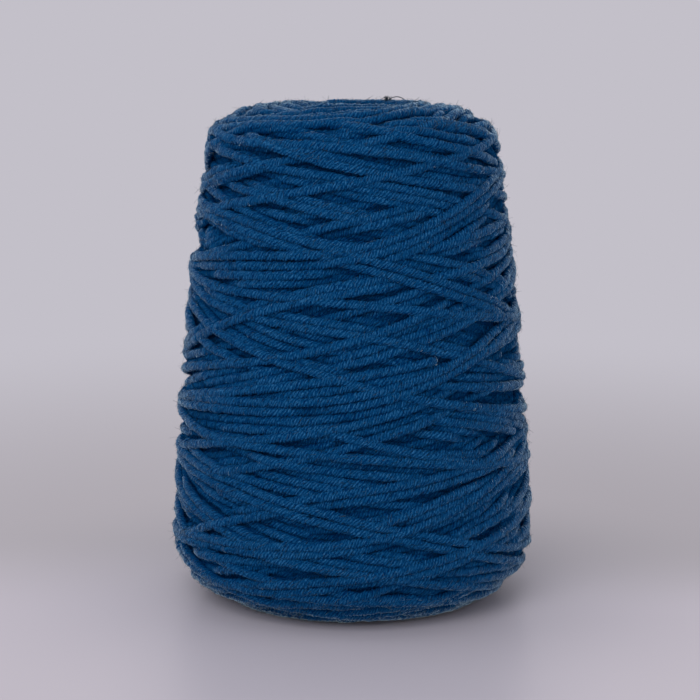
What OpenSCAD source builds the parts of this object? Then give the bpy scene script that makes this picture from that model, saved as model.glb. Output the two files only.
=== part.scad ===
// A cone of thick plied yarn: a tapered paper cone that stands on its base rim,
// the yarn wound on it, and the last layer of that winding, laid crosswise as
// one unbroken strand that climbs and falls between the two shoulders.
// Millimetres. +Z is up, and the origin is the middle of the base rim.

/* [Package] */
// Height of the package from the surface it stands on to the top of the yarn
package_h = 154.4; // [130:0.2:190]
// Diameter over the yarn where the lower shoulder begins
base_d = 112.4; // [92:0.2:136]
// Diameter over the yarn where the upper shoulder begins
top_d = 89.8; // [74:0.2:108]
// How far the side swells out past a straight taper
side_swell = 1.7; // [0:0.1:4]
// Width of the rounding at the base, measured inwards over the yarn
lower_shoulder_w = 29; // [18:1:34]
// Height of the rounding at the base
lower_shoulder_h = 22; // [14:1:30]
// Width of the rounding at the top, measured inwards over the yarn
upper_shoulder_w = 22; // [14:1:28]
// Height of the rounding at the top
upper_shoulder_h = 14; // [10:1:20]
// Depth of the dish in the top of the yarn, round the nose of the cone
dish_depth = 4.5; // [0:0.5:8]

/* [Yarn] */
// Diameter of one strand of the yarn
yarn_d = 3.1; // [2:0.1:4]
// Times that the outer layer travels up the package and back down
traverses = 5; // [2:1:5]
// Whole turns in one travel up and back; the odd part of a turn is added to them
travel_turns = 4; // [2:1:4]
// Gap between two strands where one crosses over the other
cross_gap = 0.5; // [0.45:0.05:1]
// Gap between the yarn and what it is wound on
seat_gap = 0.3; // [0.1:0.05:0.4]
// Radius of the bend where an end of the strand turns in to the winding
tuck_bend_r = 3.2; // [2.4:0.1:5]

/* [Paper cone] */
// Outside diameter of the cone at its base rim
cone_base_d = 69; // [58:0.5:84]
// Angle between the side of the cone and its axis, in degrees
cone_half_angle = 5.95; // [3:0.05:6.5]
// Thickness of the paper wall
cone_wall = 2; // [1.2:0.1:3]
// How far the nose of the cone stays below the top of the yarn
nose_drop = 2.4; // [1:0.2:6]
// Radius of the rolled edge of the nose
nose_roll_r = 2.2; // [1.7:0.1:3]
// Length of the straight bore inside the rolled nose
nose_land_h = 5; // [3:0.5:10]
// How far the base rim stands out below the yarn
rim_proud = 1; // [0.5:0.1:4]
// Width of the notch in the rim that catches the first end of the yarn
notch_w = 1.2; // [0.8:0.1:3]
// Height of that notch
notch_h = 6; // [3:0.5:12]

/* [Hidden] */

$fn = 96;
ROUND_STEP = 7.5;      // degrees between the points of a rounded outline
SIDE_STEPS = 8;        // stretches in the swelling side
RINGS_PER_TURN = 24;
STRAND_SIDES = 6;
REVERSE_HALF = 25;     // degrees of turning on each side of a reversal in which it rounds
BEND_STEP = 22.5;      // degrees between the rings of the bend at each end of the strand
BASE_FLAT = 1;         // least width of the flat ring of yarn round the base of the cone
DISH_RIM = 2;          // least width of the yarn between the dish and the upper rounding
GAP_SAMPLES = 5;       // points on each straight stretch at which the least gap is measured
GAP_WINDOW = 3;        // samples to each side of the same angle that are compared
PAPER = [0.74, 0.67, 0.56];
YARN = [0.07, 0.30, 0.50];
YARN_INSIDE = [0.04, 0.20, 0.36];

// the paper cone
cone_h = package_h - nose_drop;
function cone_r(z) = cone_base_d / 2 - z * tan(cone_half_angle);
nose_r = cone_r(cone_h - nose_roll_r);
nose_bore_r = nose_r - 2 * nose_roll_r;

// the two layers of the outer winding, counted outwards from the core
strand_r = yarn_d / 2;
turn_step = 360 / RINGS_PER_TURN;
function chord_sag(r) = r * (1 - cos(turn_step / 2));
under_lift = seat_gap + chord_sag(base_d / 2) + strand_r;
over_lift = under_lift + yarn_d + cross_gap + chord_sag(base_d / 2);
wound_t = over_lift + strand_r;

// the core, which is the package without its outer winding
core_bottom = rim_proud;
core_top = package_h;
core_base_r = base_d / 2 - wound_t;
core_top_r = top_d / 2 - wound_t;
function bore_r(z) = cone_r(z) + seat_gap / cos(cone_half_angle);
lower_w = min(lower_shoulder_w - wound_t, core_base_r - bore_r(core_bottom) - BASE_FLAT);
upper_w = min(upper_shoulder_w - wound_t, core_top_r - bore_r(core_top) - DISH_RIM);
side_bottom = core_bottom + lower_shoulder_h;
side_top = core_top - upper_shoulder_h;

function side_r(z) = let (t = (z - side_bottom) / (side_top - side_bottom))
    core_base_r + (core_top_r - core_base_r) * t + 4 * side_swell * t * (1 - t);

// outline of the core from the flat of its base, up its side, to the edge of its dish
lower_round = [for (a = [-90 : ROUND_STEP : -ROUND_STEP])
    [core_base_r - lower_w * (1 - cos(a)), side_bottom + lower_shoulder_h * sin(a)]];
side_line = [for (i = [0 : SIDE_STEPS])
    let (z = side_bottom + (side_top - side_bottom) * i / SIDE_STEPS) [side_r(z), z]];
upper_round = [for (a = [ROUND_STEP : ROUND_STEP : 90])
    [core_top_r - upper_w * (1 - cos(a)), side_top + upper_shoulder_h * sin(a)]];
core_line = concat(lower_round, side_line, upper_round);

// the same outline by its length, so that the strand can be led along it
function lengths(p, i = 0, total = 0) = i == len(p) ? []
    : let (run = total + (i == 0 ? 0 : norm(p[i] - p[i - 1]))) concat([run], lengths(p, i + 1, run));
core_run = lengths(core_line);
r_by_run = [for (i = [0 : len(core_line) - 1]) [core_run[i], core_line[i].x]];
z_by_run = [for (i = [0 : len(core_line) - 1]) [core_run[i], core_line[i].y]];
function core_at(run) = [lookup(run, r_by_run), lookup(run, z_by_run)];
function core_normal(run) = let (d = core_at(run + strand_r) - core_at(run - strand_r))
    [d.y, -d.x] / norm(d);

// the reversals lie where a strand in the upper layer just clears the end planes
function reach(h) = asin(h / (h + wound_t)) / ROUND_STEP;
low_run = lookup(90 / ROUND_STEP - reach(lower_shoulder_h),
    [for (i = [0 : len(lower_round)]) [i, core_run[i]]]);
high_run = lookup(reach(upper_shoulder_h),
    [for (i = [0 : len(upper_round)]) [i, core_run[len(lower_round) + SIDE_STEPS + i]]]);

// turns: each travel ends one share of a turn early, so that the next one falls between
turns_per_travel = travel_turns + (traverses - 1) / traverses;
loops = traverses * turns_per_travel;
last_turn = 360 * loops;
round_share = REVERSE_HALF / (180 * turns_per_travel);

function smooth(t) = let (c = min(max(t, 0), 1)) c * c * (3 - 2 * c);
function phase(turn) = let (p = turn / (180 * turns_per_travel)) p - 2 * floor(p / 2);
// 0 at the lower reversal and 1 at the upper, rounded over at both
function climb(p) = let (q = p > 1 ? 2 - p : p,
        w = q < round_share ? round_share / 2 + q * q / (2 * round_share)
          : q > 1 - round_share ? 1 - round_share / 2 - (1 - q) * (1 - q) / (2 * round_share)
          : q)
    (w - round_share / 2) / (1 - round_share);
// 0 in the lower layer on the way up, 1 in the upper layer on the way down
function layer(turn) = let (p = phase(turn), half = 2 * round_share)
    turn < REVERSE_HALF ? 1 - smooth(turn / REVERSE_HALF)
    : turn > last_turn - 2 * REVERSE_HALF ? 1
    : p > 2 - round_share ? 1 - smooth((p - 2 + round_share) / half)
    : p < round_share ? 1 - smooth((p + round_share) / half)
    : smooth((p - 1 + round_share) / half);

function around(rz, turn) = [rz.x * cos(turn), rz.x * sin(turn), rz.y];
function run_at(turn) = low_run + (high_run - low_run) * climb(phase(turn));
function lift_at(turn) = under_lift + (over_lift - under_lift) * layer(turn);
function on_core(turn, lift) = let (run = run_at(turn))
    around(core_at(run) + core_normal(run) * lift, turn);
function strand_at(turn) = on_core(turn, lift_at(turn));
function out_at(turn) = around(core_normal(run_at(turn)), turn);
function unit(v) = v / norm(v);
function along(turn) = unit(on_core(turn + 1, over_lift) - on_core(turn - 1, over_lift));

// One ring of the strand is [centre, direction, side], with side square to direction.
function ring(p, dir, out) = let (side = unit(cross(dir, out))) [p, dir, side];
// An end that turns in: straight and square to the core for a diameter, then a quarter bend.
tuck_straight = over_lift - tuck_bend_r - seat_gap / 2;
function tuck(turn, way) = let (
        n = out_at(turn),
        t = unit(along(turn) - n * (along(turn) * n)) * way,
        foot = on_core(turn, seat_gap / 2),
        knee = foot + n * tuck_straight,
        side = cross(t, n) * way)
    concat([[foot, n * way, side]],
        [for (a = [0 : BEND_STEP : 90])
            [knee + t * tuck_bend_r * (1 - cos(a)) + n * tuck_bend_r * sin(a),
             (n * cos(a) + t * sin(a)) * way, side]]);
function reversed(list) = [for (i = [len(list) - 1 : -1 : 0]) list[i]];
tuck_turn = atan(tuck_bend_r / core_base_r);
first_tuck = tuck(-tuck_turn, 1);
last_tuck = tuck(last_turn - REVERSE_HALF + tuck_turn, -1);
laid_turns = [for (t = [turn_step : turn_step : last_turn - REVERSE_HALF - turn_step / 2]) t];
laid = [for (t = laid_turns)
    ring(strand_at(t), unit(strand_at(t + turn_step) - strand_at(t - turn_step)), out_at(t))];
strand_rings = concat(first_tuck, laid, reversed(last_tuck));

// least distance between the skins of two stretches that lie a turn or more apart
samples = [for (i = [0 : len(laid) - 2], k = [0 : GAP_SAMPLES - 1])
    laid[i][0] + (laid[i + 1][0] - laid[i][0]) * k / GAP_SAMPLES];
samples_per_turn = RINGS_PER_TURN * GAP_SAMPLES;
laid_gap = min([for (i = [0 : len(samples) - 1],
        j = [i + samples_per_turn : samples_per_turn : len(samples) + GAP_WINDOW],
        k = [-GAP_WINDOW : GAP_WINDOW])
    if (j + k < len(samples)) norm(samples[i] - samples[j + k])]) - yarn_d;
tuck_gap = min(concat(
    [for (e = first_tuck, i = [samples_per_turn / 2 : len(samples) - 1]) norm(e[0] - samples[i])],
    [for (e = last_tuck, i = [0 : len(samples) - samples_per_turn / 2]) norm(e[0] - samples[i])],
    [for (e = first_tuck, f = last_tuck) norm(e[0] - f[0])])) - yarn_d;

module paper_cone() {
    roll_z = cone_h - nose_roll_r;
    land_z = roll_z - nose_land_h;
    roll = [for (a = [0 : ROUND_STEP : 180])
        [nose_r - nose_roll_r + nose_roll_r * cos(a), roll_z + nose_roll_r * sin(a)]];
    color(PAPER)
    difference() {
        rotate_extrude()
            polygon(concat(
                [[cone_r(0) - cone_wall, 0], [cone_r(0), 0]],
                roll,
                [[nose_bore_r, land_z],
                 [cone_r(land_z - nose_roll_r) - cone_wall, land_z - nose_roll_r]]));
        translate([0, -notch_w / 2, -1])
            cube([cone_base_d, notch_w, notch_h + 1]);
    }
}

module yarn_core() {
    dish_z = core_top - dish_depth;
    color(YARN_INSIDE)
    rotate_extrude()
        polygon(concat(
            core_line,
            [[bore_r(dish_z), dish_z], [bore_r(core_bottom), core_bottom]]));
}

module yarn_winding() {
    n = STRAND_SIDES;
    rings = len(strand_rings);
    points = [for (s = strand_rings, k = [0 : n - 1])
        let (up = cross(s[2], s[1]))
        s[0] + strand_r * (up * cos(360 * k / n) + s[2] * sin(360 * k / n))];
    skin = [for (i = [0 : rings - 2], k = [0 : n - 1])
        let (a = i * n + k, b = i * n + (k + 1) % n)
        each [[a, a + n, b + n], [a, b + n, b]]];
    caps = [for (k = [1 : n - 2])
        each [[0, k, k + 1], [(rings - 1) * n, (rings - 1) * n + k + 1, (rings - 1) * n + k]]];
    echo(loops = loops, least_gap_laid = laid_gap, least_gap_at_ends = tuck_gap);
    color(YARN)
        polyhedron(points, concat(skin, caps));
}

paper_cone();
yarn_core();
yarn_winding();
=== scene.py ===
"""Cone of thick plied yarn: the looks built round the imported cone."""

import functools
import math

import bpy
import numpy as np
from bpy.props import (
    FloatProperty,
    FloatVectorProperty,
    IntProperty,
    PointerProperty,
)
from bpy.types import Operator, Panel, PropertyGroup
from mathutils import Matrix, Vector


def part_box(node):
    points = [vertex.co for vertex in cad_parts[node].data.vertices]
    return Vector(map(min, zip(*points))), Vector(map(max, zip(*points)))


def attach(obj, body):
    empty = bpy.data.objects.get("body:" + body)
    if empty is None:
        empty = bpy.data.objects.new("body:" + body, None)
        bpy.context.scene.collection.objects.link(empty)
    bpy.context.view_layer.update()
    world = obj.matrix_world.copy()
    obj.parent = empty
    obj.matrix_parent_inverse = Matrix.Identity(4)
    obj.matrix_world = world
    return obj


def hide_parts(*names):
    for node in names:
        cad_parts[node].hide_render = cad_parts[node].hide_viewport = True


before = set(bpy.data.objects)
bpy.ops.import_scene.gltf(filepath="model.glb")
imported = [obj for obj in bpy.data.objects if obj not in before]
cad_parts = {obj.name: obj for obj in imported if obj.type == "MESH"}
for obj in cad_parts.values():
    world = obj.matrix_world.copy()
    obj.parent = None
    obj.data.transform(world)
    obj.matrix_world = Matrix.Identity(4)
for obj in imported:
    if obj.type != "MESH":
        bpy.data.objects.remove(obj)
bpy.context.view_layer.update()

bl_info = {
    "name": "Plied Yarn Cone",
    "version": (1, 0, 0),
    "blender": (4, 5, 0),
    "location": "3D View > Sidebar > Yarn Cone",
    "description": "Winds a cone of thick plied yarn and sets it on a pale studio floor",
    "category": "Object",
}

MM = 0.001
YARN_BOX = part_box("yarn_winding")
CONE_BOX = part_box("paper_cone")
HIGHEST_TURNS = 0.8 * MM  # how far they stand over the outline
PACKAGE_H = YARN_BOX[1].z - HIGHEST_TURNS
BASE_R = YARN_BOX[1].x


# ------------------------------------------------------------------ settings


def length(name, description, default, low=0.0, high=1.0):
    """A size in metres."""
    return FloatProperty(name=name, description=description, default=default, min=low, max=high,
                         precision=5, unit="LENGTH", subtype="DISTANCE")


def share(name, description, default, high=1.0):
    """A plain number from 0 up."""
    return FloatProperty(name=name, description=description, default=default, min=0.0, max=high)


def angle(name, description, degrees):
    """An angle, shown in degrees."""
    return FloatProperty(name=name, description=description, default=math.radians(degrees),
                         subtype="ANGLE")


def count(name, description, default, low=1, high=1000):
    """A whole number."""
    return IntProperty(name=name, description=description, default=default, min=low, max=high)


def colour(name, description, *values):
    """A linear colour."""
    return FloatVectorProperty(name=name, description=description, default=values,
                               min=0.0, max=1.0, subtype="COLOR")


class YARNCONE_PG_package(PropertyGroup):
    """Outline of the full package"""

    height: length("Height", "From the foot to the rim of the dish", PACKAGE_H)
    base_r: length("Base radius", "Radius where the side meets the lower shoulder", BASE_R)
    top_r: length("Top radius", "Radius where the side meets the upper shoulder", 0.0449)
    swell: length("Swell", "How far the side bows out", 0.0017)
    lower_w: length("Lower shoulder width", "Radial size of the lower shoulder", 0.0289)
    lower_h: length("Lower shoulder height", "Height of the lower shoulder", 0.0212)
    upper_w: length("Upper shoulder width", "Radial size of the upper shoulder", 0.0250)
    upper_h: length("Upper shoulder height", "Height of the upper shoulder", 0.0135)
    roundness: share("Roundness", "Power of the shoulders' curve", 2.2, 6.0)
    foot_r: length("Foot radius", "Where the yarn starts beside the paper cone", 0.0352)
    foot_z: length("Foot", "Height of the outline at the foot", -0.0006, -0.01)
    dish_r: length("Dish radius", "Inner radius of the dish at the nose", 0.0194)
    dish_d: length("Dish depth", "How far the dish sinks to the nose", 0.004)


class YARNCONE_PG_yarn(PropertyGroup):
    """The strand"""

    width: length("Width", "Width of the strand as it lies", 0.0029)
    height: length("Height", "Thickness of the strand as it lies", 0.0026)
    plies: count("Plies", "Ends twisted into the strand", 5, 2, 16)
    lay: length("Lay", "Length in which the plies go once round", 0.0048)
    groove: share("Groove", "Depth of the groove between plies, as a share", 0.18)
    ring_step: length("Ring step", "Distance between rings of the mesh", 0.00054)
    # Painted shade: a deeper, bluer colour that stands for the shade between the strands
    painted_shade_colour: colour("Deep dye", "Colour between the strands", 0.0, 0.011, 0.063)
    dye: colour("Dye", "Colour of the plies", 0.0017, 0.0515, 0.150)
    # Painted highlight: a paler colour that stands for the light on plies that stand out
    painted_highlight_colour: colour("Light dye", "Colour of the plies that stand out", 0.026, 0.119, 0.267)
    fibres: count("Fibres", "Loose fibres on the whole package", 50000, 0, 90000)


class YARNCONE_PG_winding(PropertyGroup):
    """How the yarn is laid"""

    seed: count("Seed", "Draw of the winding", 4)
    passes: count("Passes", "Traverses of the guide that are wound", 128, 8, 400)
    angle_min: angle("Least angle", "Flattest wind on the side", 7.5)
    angle_max: angle("Greatest angle", "Steepest wind on the side", 16.0)
    band_min: count("Fewest", "Fewest strands side by side", 2)
    band_max: count("Most", "Most strands side by side", 5)
    space: length("Spacing", "From one strand of a band to the next", 0.0025)
    depth: length("Depth", "Thickness wound over the inner yarn", 0.008)
    depth_ends: length("Depth at the ends", "The same at foot and dish", 0.004)


class YARNCONE_PG_end(PropertyGroup):
    """The frayed end of the strand on the top"""

    place_x: length("Place X", "Where it stands out of the top", 0.0109, -0.05, 0.05)
    place_y: length("Place Y", "The same, front to back", 0.020, -0.05, 0.05)
    tall: length("Height", "How far the frayed end stands up", 0.0012)
    span: length("Span", "How far the loose filament reaches", 0.0053)
    rise: length("Rise", "How high the filament arches", 0.0011)
    fibres: count("Fibres", "Fibres of the frayed end", 22, 1, 200)


class YARNCONE_PG_board(PropertyGroup):
    """The paper board of the cone"""

    pitch: length("Pitch", "How far the strip of board climbs in a turn", 0.045)
    dark: colour("Dark fibres", "Darker colour of the board", 0.27, 0.22, 0.155)
    pale: colour("Pale fibres", "Lighter colour of the board", 0.44, 0.37, 0.27)
    worn: colour("Scuffs", "Colour where the board is scuffed", 0.46, 0.40, 0.31)
    seam: colour("Seam", "Colour of the seam of the wound strip", 0.16, 0.125, 0.085)


class YARNCONE_PG_stage(PropertyGroup):
    """Floor, light and camera"""

    floor: colour("Floor", "Colour of the floor by the cone", 0.53, 0.49, 0.555)
    # Painted shade: the sweep behind the cone is darker, as where less light falls
    band: colour("Dip", "Colour of the sweep behind the cone", 0.42, 0.392, 0.43)
    wall: colour("Wall", "Colour of the backdrop", 0.546, 0.527, 0.584)
    sky: colour("Ambient colour", "Colour of the light from all sides", 0.94, 0.96, 1.0)
    floor_share: share("Floor tone", "Share of the floor's colour that is lit", 0.96)
    floor_gloss: share("Floor gloss", "How much the floor mirrors", 0.22)
    floor_rough: share("Floor roughness", "How blurred it mirrors", 0.35)
    ambient: share("Ambient", "Strength of the light from all sides", 0.38, 4.0)
    key: share("Key", "Power of the main lamp in watts", 5.3, 50.0)
    fill_left: share("Fill left", "Power of the lamp on the left in watts", 2.3, 50.0)
    fill_right: share("Fill right", "Power of the lamp on the right in watts", 1.4, 50.0)
    front: share("Front", "Power of the low lamp in front in watts", 2.8, 50.0)
    top: share("Top", "Power of the lamp overhead in watts", 2.4, 50.0)
    eye: FloatVectorProperty(name="Camera", description="Where the camera stands",
                             default=(-0.00082, -0.6, 0.17), subtype="XYZ", unit="LENGTH")
    tilt: angle("Tilt", "How far the camera looks down", 8.84)
    lens: share("Lens", "Focal length in millimetres", 99.46, 1000.0)


class YARNCONE_PG_all(PropertyGroup):
    """Everything that can be set on the yarn cone"""

    package: PointerProperty(type=YARNCONE_PG_package)
    yarn: PointerProperty(type=YARNCONE_PG_yarn)
    winding: PointerProperty(type=YARNCONE_PG_winding)
    end: PointerProperty(type=YARNCONE_PG_end)
    board: PointerProperty(type=YARNCONE_PG_board)
    stage: PointerProperty(type=YARNCONE_PG_stage)


# ------------------------------------------------- winding, in millimetres

ROW = 0.4  # distance between rows of the height map along the outline
COLUMNS = 720  # columns of that map round the package
TURN = 2 * math.pi / COLUMNS
REACH = 5  # rows on each side that a strand can cover
NOWHERE = -99.0  # height of a cell that a strand doesn't cover
SHOULDER_POINTS, SIDE_POINTS, DISH_POINTS = 90, 80, 12  # points of the drawn outline
OUTLINE_SOFT = 3  # rows over which its direction is evened out
RIM = 3.0  # how far inside the top radius the end of the side is looked for
MEAN_R = 50.0  # radius at which wind angles are measured
SWAY = np.array([3.2, 1.6, 0.8])  # how far bands wander, by waves to a turn
SPREAD = (0.85, 1.15)  # how tight the strands of a band lie
OPEN_BANDS = 3  # bands to choose from, in each direction
BAND_FELT = 130.0  # length over which the height under a new band is felt
TRIES = 14  # places tried for a new band
SKIP = 6  # columns from one height that is looked at to the next
DWELL = (0.1, 0.5)  # least and most turn that a reversal takes
DWELL_COST = 1.5  # how much a long reversal counts against a low place
DWELL_JITTER = 0.2  # chance in the choice of the next strand
REVERSAL_SOFT = 4.0  # roundness of a reversal
REVERSAL_CAP = 2.0  # how far a strand has curved away from its turning place after a CAP_RUN
CAP_RUN, CAP_FADE = 0.25, 0.35  # turn in which it does, and turn over which that wears off
CAP_MOST = 1.6  # most of those runs that count
SWITCH, SWITCH_END = 0.02, 60  # turn in which the way in gives over to the way out, and its limit
OUT_TOP, OUT_BOTTOM = 2.0, 2.0  # how far past the sides reversals may come
IN_TOP, IN_BOTTOM = 2.2, 2.4  # how near the ends of the outline they may come
ARC = 0.3  # turn over which the place of a reversal is felt
NEAR_ROWS = 3  # and rows on each side of it
PLACES = 16  # places tried for a reversal
PLACE_JITTER = 0.4  # chance in that choice
WOBBLE = 0.3, (1.5, 3.5)  # how far one strand wanders by itself, and with how many waves to a turn
TREMBLE = 0.13, (6.0, 11.0)  # the same over short distances
WAY_SOFT = 5  # columns over which a strand's way is evened out
WAY_JOIN, HEIGHT_JOIN = 25, 4  # columns over which it takes over the last pass's place and height
EDGE = 1.8  # least distance between a strand's middle and the ends of the outline
SINK = 0.2  # how far a strand presses into what it lies on
NEST = 0.6  # share of its width, squared, that rests on what lies below
SQUASH, SQUASH_REACH = 0.65, 14.0  # how much lumps below are pressed flat
DRAPE, DRAPE_REACH = 0.35, 9.0  # how far a strand bridges over hollows
LEAST_BEND = 0.8  # least bend of the taut strand, as a share of that of a level turn
STIFFNESS = 2.4  # columns over which a strand can't bend
THIN_TOP, THIN_BOTTOM = 4, 12  # how far past the sides the winding starts to thin out
BLOCK = 12  # columns and rows to a block where the package settles
SETTLE = 0.3  # share of its lumps that the package loses in a pass
EVEN_REACH = 5.0  # width of what counts as a lump at the end
LUMPS = 0.1  # share of those lumps that stays
DROP = 0.55  # how far the finished surface lies below the outline on average
PROUD = 0.3  # how far the middle of a strand stands over the mean surface at most
EASED, EASED_REACH = 0.6, 1.5  # share by which shallow hollows are filled, and how deep they reach
PRESS_SOFT = 1.5  # columns over which a pressed strand is evened out
RELIEF = 0.68  # share of the height between crossing strands that stays
UPPER_FACE = 0.97  # share of a strand's width, squared, that counts as its upper face
UNDER_ANGLE = math.radians(12)  # wind angle of the layer that closes the gaps
UNDER_SPACE = 2.6  # from one strand of that layer to the next
UNDER_DEPTH = 2.3  # how far its top lies below the mean surface
UNDER_CLEAR = 0.8  # least height of its middle over the inner yarn, in half strands
UNDER_EDGE = 1.9  # how near it comes to the ends of the outline
UNDER_SOFT = 3  # columns over which it is evened out
MEAN_REACH = 2.5  # width over which the mean surface is taken


def bell(width):
    """Weights of a bell of that width in samples, and how many lie on each side of its middle."""
    half = int(3 * width + 1)
    weights = np.exp(-0.5 * (np.arange(-half, half + 1) / width) ** 2)
    return weights / weights.sum(), half


def smooth(values, width):
    """values along a line, blurred by a bell of that width in samples."""
    weights, half = bell(width)
    return np.convolve(np.pad(values, half, mode="edge"), weights, "valid")


def blur(field, reach):
    """A height field blurred by that many mm, round the package and along the outline."""
    weights, half = bell(reach / (MEAN_R * TURN))
    wrapped = np.concatenate([field[-half:], field, field[:half]])
    out = sum(w * wrapped[n : n + len(field)] for n, w in enumerate(weights))
    weights, half = bell(reach / ROW)
    padded = np.pad(out, ((0, 0), (half, half)), mode="edge")
    return sum(w * padded[:, n : n + field.shape[1]] for n, w in enumerate(weights))


def in_between(field, places):
    """A field's values at places between its columns."""
    low = np.minimum(places.astype(int), field.shape[1] - 2)
    part = places - low
    return field[:, low] * (1 - part) + field[:, low + 1] * part


def row_of(v):
    """Row of the height map nearest to v, a distance along the outline."""
    return np.round(v / ROW).astype(int)


def half_sizes(yarn):
    """Half the width and half the thickness of the strand."""
    return yarn.width / MM / 2, yarn.height / MM / 2


def sag_line(x, y):
    """Indices of the points that a taut string over the points (x, y) touches."""
    x, y = x.tolist(), y.tolist()
    held = []
    for i in range(len(x)):
        while len(held) >= 2:
            a, b = held[-2], held[-1]
            if (y[b] - y[a]) * (x[i] - x[a]) > (y[i] - y[a]) * (x[b] - x[a]):
                break
            held.pop()
        held.append(i)
    return held


class Outline:
    """Half outline of the package at even steps, from the foot over the side to the dish."""

    def __init__(self, package):
        mm = {n: getattr(package, n) / MM for n in package.bl_rna.properties.keys()
              if isinstance(getattr(package, n), float)}
        power = 2 / package.roundness
        turn = np.linspace(0, math.pi / 2, SHOULDER_POINTS)
        foot = [
            mm["base_r"] - mm["lower_w"] * (1 - np.sin(turn) ** power),
            mm["foot_z"] + (mm["lower_h"] - mm["foot_z"]) * (1 - np.cos(turn) ** power),
        ]
        up = np.linspace(0, 1, SIDE_POINTS)[1:-1]
        side_h = mm["height"] - mm["upper_h"] - mm["lower_h"]
        side = [
            mm["base_r"] + (mm["top_r"] - mm["base_r"]) * up + 4 * mm["swell"] * up * (1 - up),
            mm["lower_h"] + side_h * up,
        ]
        rim_r = mm["top_r"] - mm["upper_w"]
        top = [
            rim_r + mm["upper_w"] * np.cos(turn) ** power,
            mm["height"] - mm["upper_h"] * (1 - np.sin(turn) ** power),
        ]
        inward = np.linspace(0, 1, DISH_POINTS)[1:]
        dish = [
            rim_r + (mm["dish_r"] - rim_r) * inward,
            mm["height"] - mm["dish_d"] * inward**2,
        ]
        line = np.concatenate([np.stack(part, 1) for part in (foot, side, top, dish)])
        line = line[(line[:, 0] >= mm["foot_r"]) | (line[:, 1] > mm["lower_h"])]
        run = np.r_[0, np.cumsum(np.hypot(*np.diff(line, axis=0).T))]
        keep = np.r_[True, np.diff(run) > 1e-9]
        line, run = line[keep], run[keep]
        self.v = np.arange(int(run[-1] / ROW) + 1) * ROW
        self.r = np.interp(self.v, run, line[:, 0])
        self.z = np.interp(self.v, run, line[:, 1])
        along = np.stack([np.gradient(smooth(self.r, OUTLINE_SOFT)),
                          np.gradient(smooth(self.z, OUTLINE_SOFT))])
        along /= np.hypot(*along)
        self.normal_r, self.normal_z = along[1], -along[0]
        self.bend = np.gradient(np.unwrap(np.arctan2(along[1], along[0])), ROW)
        self.rows = len(self.v)
        self.end = self.v[-1]
        self.side_low = self.v[np.argmin(abs(self.z - mm["lower_h"]))]
        off = abs(self.z - mm["height"] + mm["upper_h"])
        self.side_high = self.v[np.argmin(np.where(self.r < mm["top_r"] - RIM, math.inf, off))]
        self.middle = 0.5 * (self.side_low + self.side_high)

    def at(self, v, values):
        """One of the outline's values at v."""
        return np.interp(v, self.v, values)


class Band:
    """Strands that lie side by side and cross the package in one direction."""

    def __init__(self, rng, direction, outline, settings):
        self.direction, self.middle = direction, outline.middle
        steepness = rng.uniform(settings.angle_min, settings.angle_max)
        self.climb = 2 * math.pi * MEAN_R * math.tan(steepness)
        self.size = int(rng.integers(settings.band_min, settings.band_max + 1))
        self.count = 0
        self.step = rng.choice([-1, 1]) * rng.uniform(*SPREAD) * settings.space / MM
        self.sway = rng.normal(size=3) * SWAY
        self.phase = rng.random(3) * 2 * math.pi
        self.start = 0.0

    def turn_at(self, strand, v):
        """Turn at which one of its strands reaches v."""
        rise = v - self.middle - strand * self.step
        return self.start + rise / (self.climb * self.direction)

    def way(self, strand, shift, turns):
        """v of one of its strands at those turns."""
        v = self.middle + strand * self.step
        v = v + self.direction * self.climb * (turns - shift - self.start)
        waves = enumerate(zip(self.sway, self.phase), start=1)
        return v + sum(a * np.sin(2 * math.pi * n * turns + f) for n, (a, f) in waves)


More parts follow.
